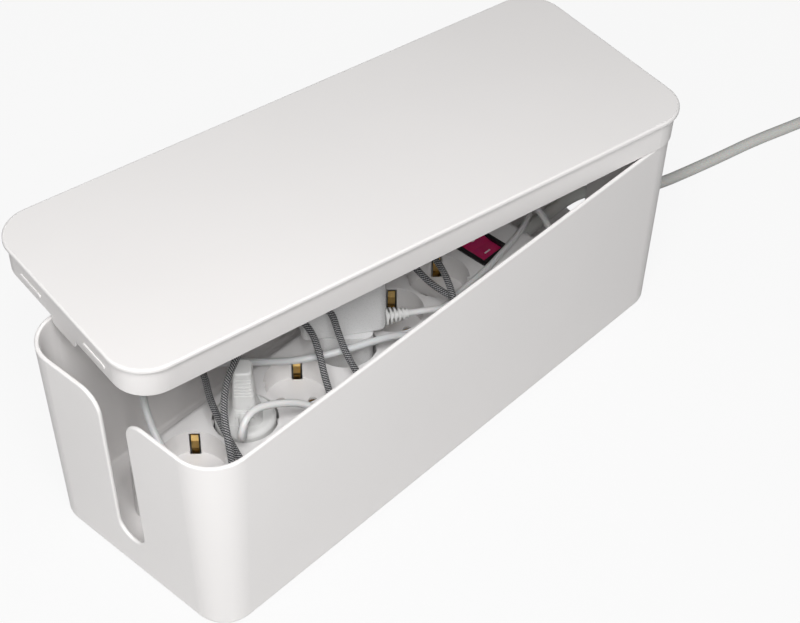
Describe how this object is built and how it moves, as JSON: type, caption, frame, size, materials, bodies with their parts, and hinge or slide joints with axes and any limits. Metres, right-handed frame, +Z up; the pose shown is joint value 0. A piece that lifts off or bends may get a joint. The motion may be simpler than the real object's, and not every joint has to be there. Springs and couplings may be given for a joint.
{
  "type": "desktop cable management box",
  "caption": "Long white box with end cable slots and a lift-off lid, holding a socket strip with a rocker switch, plugs and loose leads.",
  "frame": {"origin": "middle of the tub's underside, on the surface that the box stands on (the tub's plastic is 0.8 mm above it, on its feet)", "axes": "+X along the box towards the end where the strip's cord leaves, +Y across it, +Z up"},
  "size_m": [0.7401, 0.2827, 0.1657],
  "materials": {
    "box_plastic": "fine matt moulded plastic",
    "lid_plastic": "fine matt moulded plastic",
    "foot_rubber": "soft grey rubber",
    "strip_plastic": "satin moulded plastic",
    "contact_brass": "bright stamped brass",
    "screw_steel": "zinc-plated steel",
    "switch_black": "black moulded plastic",
    "switch_red": "translucent red plastic",
    "lamp_glass": "neon indicator",
    "cord_grey": "smooth light grey PVC",
    "tie_fabric": "black hook-and-loop tape",
    "plug_grey": "light grey moulded plastic",
    "pin_nickel": "nickel-plated brass",
    "plug_white": "white moulded plastic",
    "flex_white": "smooth white PVC",
    "charger_white": "smooth white plastic",
    "shell_steel": "plated steel",
    "patch_grey": "grey PVC",
    "patch_clear": "clear polycarbonate",
    "braid_fabric": "black and grey woven braid",
    "plug_black": "black moulded plastic"
  },
  "bodies": {
    "box": {"tub_shell": "box_plastic", "rubber_feet": "foot_rubber", "strip_base": "strip_plastic", "strip_cover": "strip_plastic", "live_rail": "contact_brass", "neutral_rail": "contact_brass", "earth_rail": "contact_brass", "strip_screws": "screw_steel", "switch_frame": "switch_black", "switch_lamp": "lamp_glass", "switch_terminals": "contact_brass", "cord_boot": "cord_grey", "mains_cord": "cord_grey", "mains_cord_coil": "cord_grey", "coil_tie": "tie_fabric", "mains_cord_tail": "cord_grey", "mains_plug": "plug_grey", "mains_plug_pins": "pin_nickel", "socket_plug": "plug_white", "socket_plug_pins": "pin_nickel", "plug_flex": "flex_white", "flex_connector": "plug_white", "charger_case": "charger_white", "charger_foot": "charger_white", "charger_pins": "pin_nickel", "charger_boot": "flex_white", "charger_lead": "flex_white", "charger_lead_plug": "plug_white", "charger_lead_shell": "shell_steel", "patch_lead": "patch_grey", "patch_boot_a": "patch_grey", "patch_plug_a": "patch_clear", "patch_boot_b": "patch_grey", "patch_plug_b": "patch_clear", "braided_lead": "braid_fabric", "braid_plug_a": "plug_black", "braid_shell_a": "shell_steel", "braid_plug_b": "plug_black", "braid_shell_b": "shell_steel"},
    "lid": {"lid_cover": "lid_plastic"},
    "rocker": {"switch_rocker": "switch_red"}
  },
  "joints": [
    {"name": "lid_lift", "type": "slide", "parent": "box", "child": "lid", "axis": [0, 0, 1], "range_m": [0, 0.12]},
    {"name": "rocker_tilt", "type": "hinge", "parent": "box", "child": "rocker", "pos_m": [0.1072, 0.006, 0.0458], "axis": [-1, 0, 0], "range_deg": [0, 18]}
  ]
}
